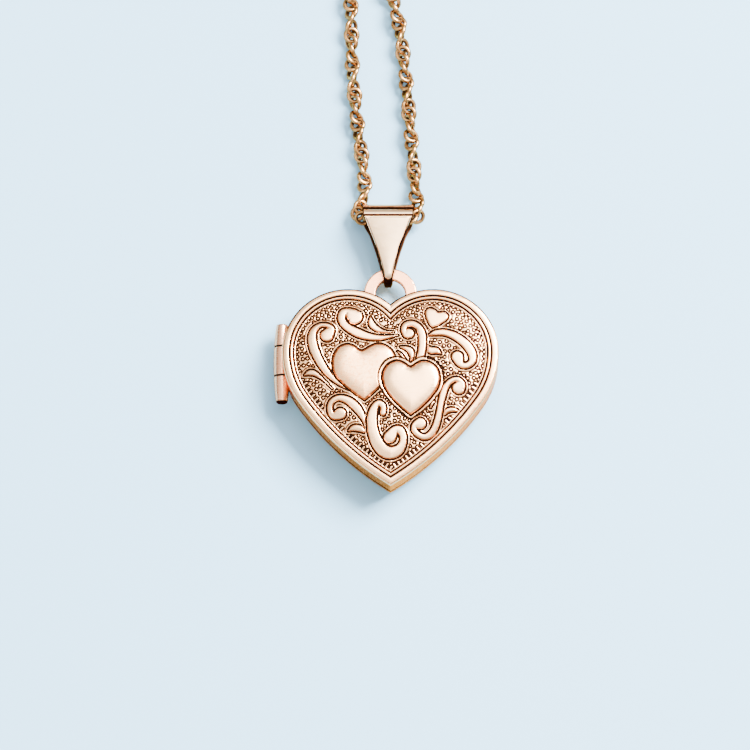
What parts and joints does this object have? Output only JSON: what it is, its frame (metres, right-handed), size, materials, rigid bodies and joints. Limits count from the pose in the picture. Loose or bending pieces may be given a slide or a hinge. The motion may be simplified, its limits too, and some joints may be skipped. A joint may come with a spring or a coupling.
{
  "type": "heart locket on a chain",
  "caption": "Small hinged heart locket with a scroll-embossed front, two raised hearts, a hanging ring, a tapered bail and a fine rope chain with a spring ring clasp.",
  "frame": {"origin": "middle of the flat of the back cover, which lies on the table", "axes": "+Z out of the engraved front, +Y from the heart's tip towards the bail and chain, -X towards the hinge"},
  "size_m": [0.025, 0.0586, 0.0035],
  "materials": {
    "rose_gold": "polished rose gold with dark patina in the recesses",
    "rose_gold_inner": "satin rose gold",
    "rose_gold_hinge": "polished rose gold",
    "rose_gold_ring": "polished rose gold",
    "rose_gold_bail": "mirror-polished rose gold",
    "window": "clear acetate",
    "card": "blank matt card",
    "chain_gold": "antiqued yellow gold",
    "clasp_gold": "polished antiqued yellow gold",
    "spring_steel": "drawn wire"
  },
  "bodies": {
    "chain": {"chain_left": "chain_gold", "chain_right": "chain_gold", "chain_coil": "chain_gold", "chain_end_left": "chain_gold", "chain_end_right": "chain_gold", "chain_end_ring": "chain_gold", "clasp_ring": "clasp_gold", "clasp_spring": "spring_steel", "clasp_stop": "clasp_gold", "clasp_eyelet": "clasp_gold"},
    "clasp_trigger": {"clasp_bolt": "clasp_gold"},
    "bail": {"bail": "rose_gold_bail"},
    "case": {"back_cover": "rose_gold", "hanging_ring": "rose_gold_ring", "hinge_knuckle_lower": "rose_gold_hinge", "hinge_knuckle_upper": "rose_gold_hinge", "hinge_pin": "rose_gold_hinge", "back_photo_frame": "rose_gold_inner", "back_window": "window", "back_photo_card": "card", "snap_keeper": "rose_gold_inner"},
    "front": {"front_cover": "rose_gold", "hinge_knuckle_middle": "rose_gold_hinge", "front_photo_frame": "rose_gold_inner", "front_window": "window", "front_photo_card": "card", "snap_tongue": "rose_gold_inner"}
  },
  "joints": [
    {"name": "bail_swing", "type": "hinge", "parent": "chain", "child": "bail", "pos_m": [-0.00015, 0.01229, 0.0012], "axis": [-1, 0, 0], "range_deg": [0, 80]},
    {"name": "ring_swing", "type": "hinge", "parent": "bail", "child": "case", "pos_m": [-0.00015, 0.0085, 0.00115], "axis": [-1, 0, 0], "range_deg": [-100, 65]},
    {"name": "cover_hinge", "type": "hinge", "parent": "case", "child": "front", "pos_m": [-0.00752, 0.002, 0.00145], "axis": [0, -1, 0], "range_deg": [0, 165]},
    {"name": "clasp_trigger_turn", "type": "hinge", "parent": "chain", "child": "clasp_trigger", "pos_m": [0.0064, 0.0398, 0.0005], "axis": [0, 0, -1], "range_deg": [0, 45], "stiffness_Nm_per_rad": 0.002, "deforming": ["clasp_spring"]}
  ]
}
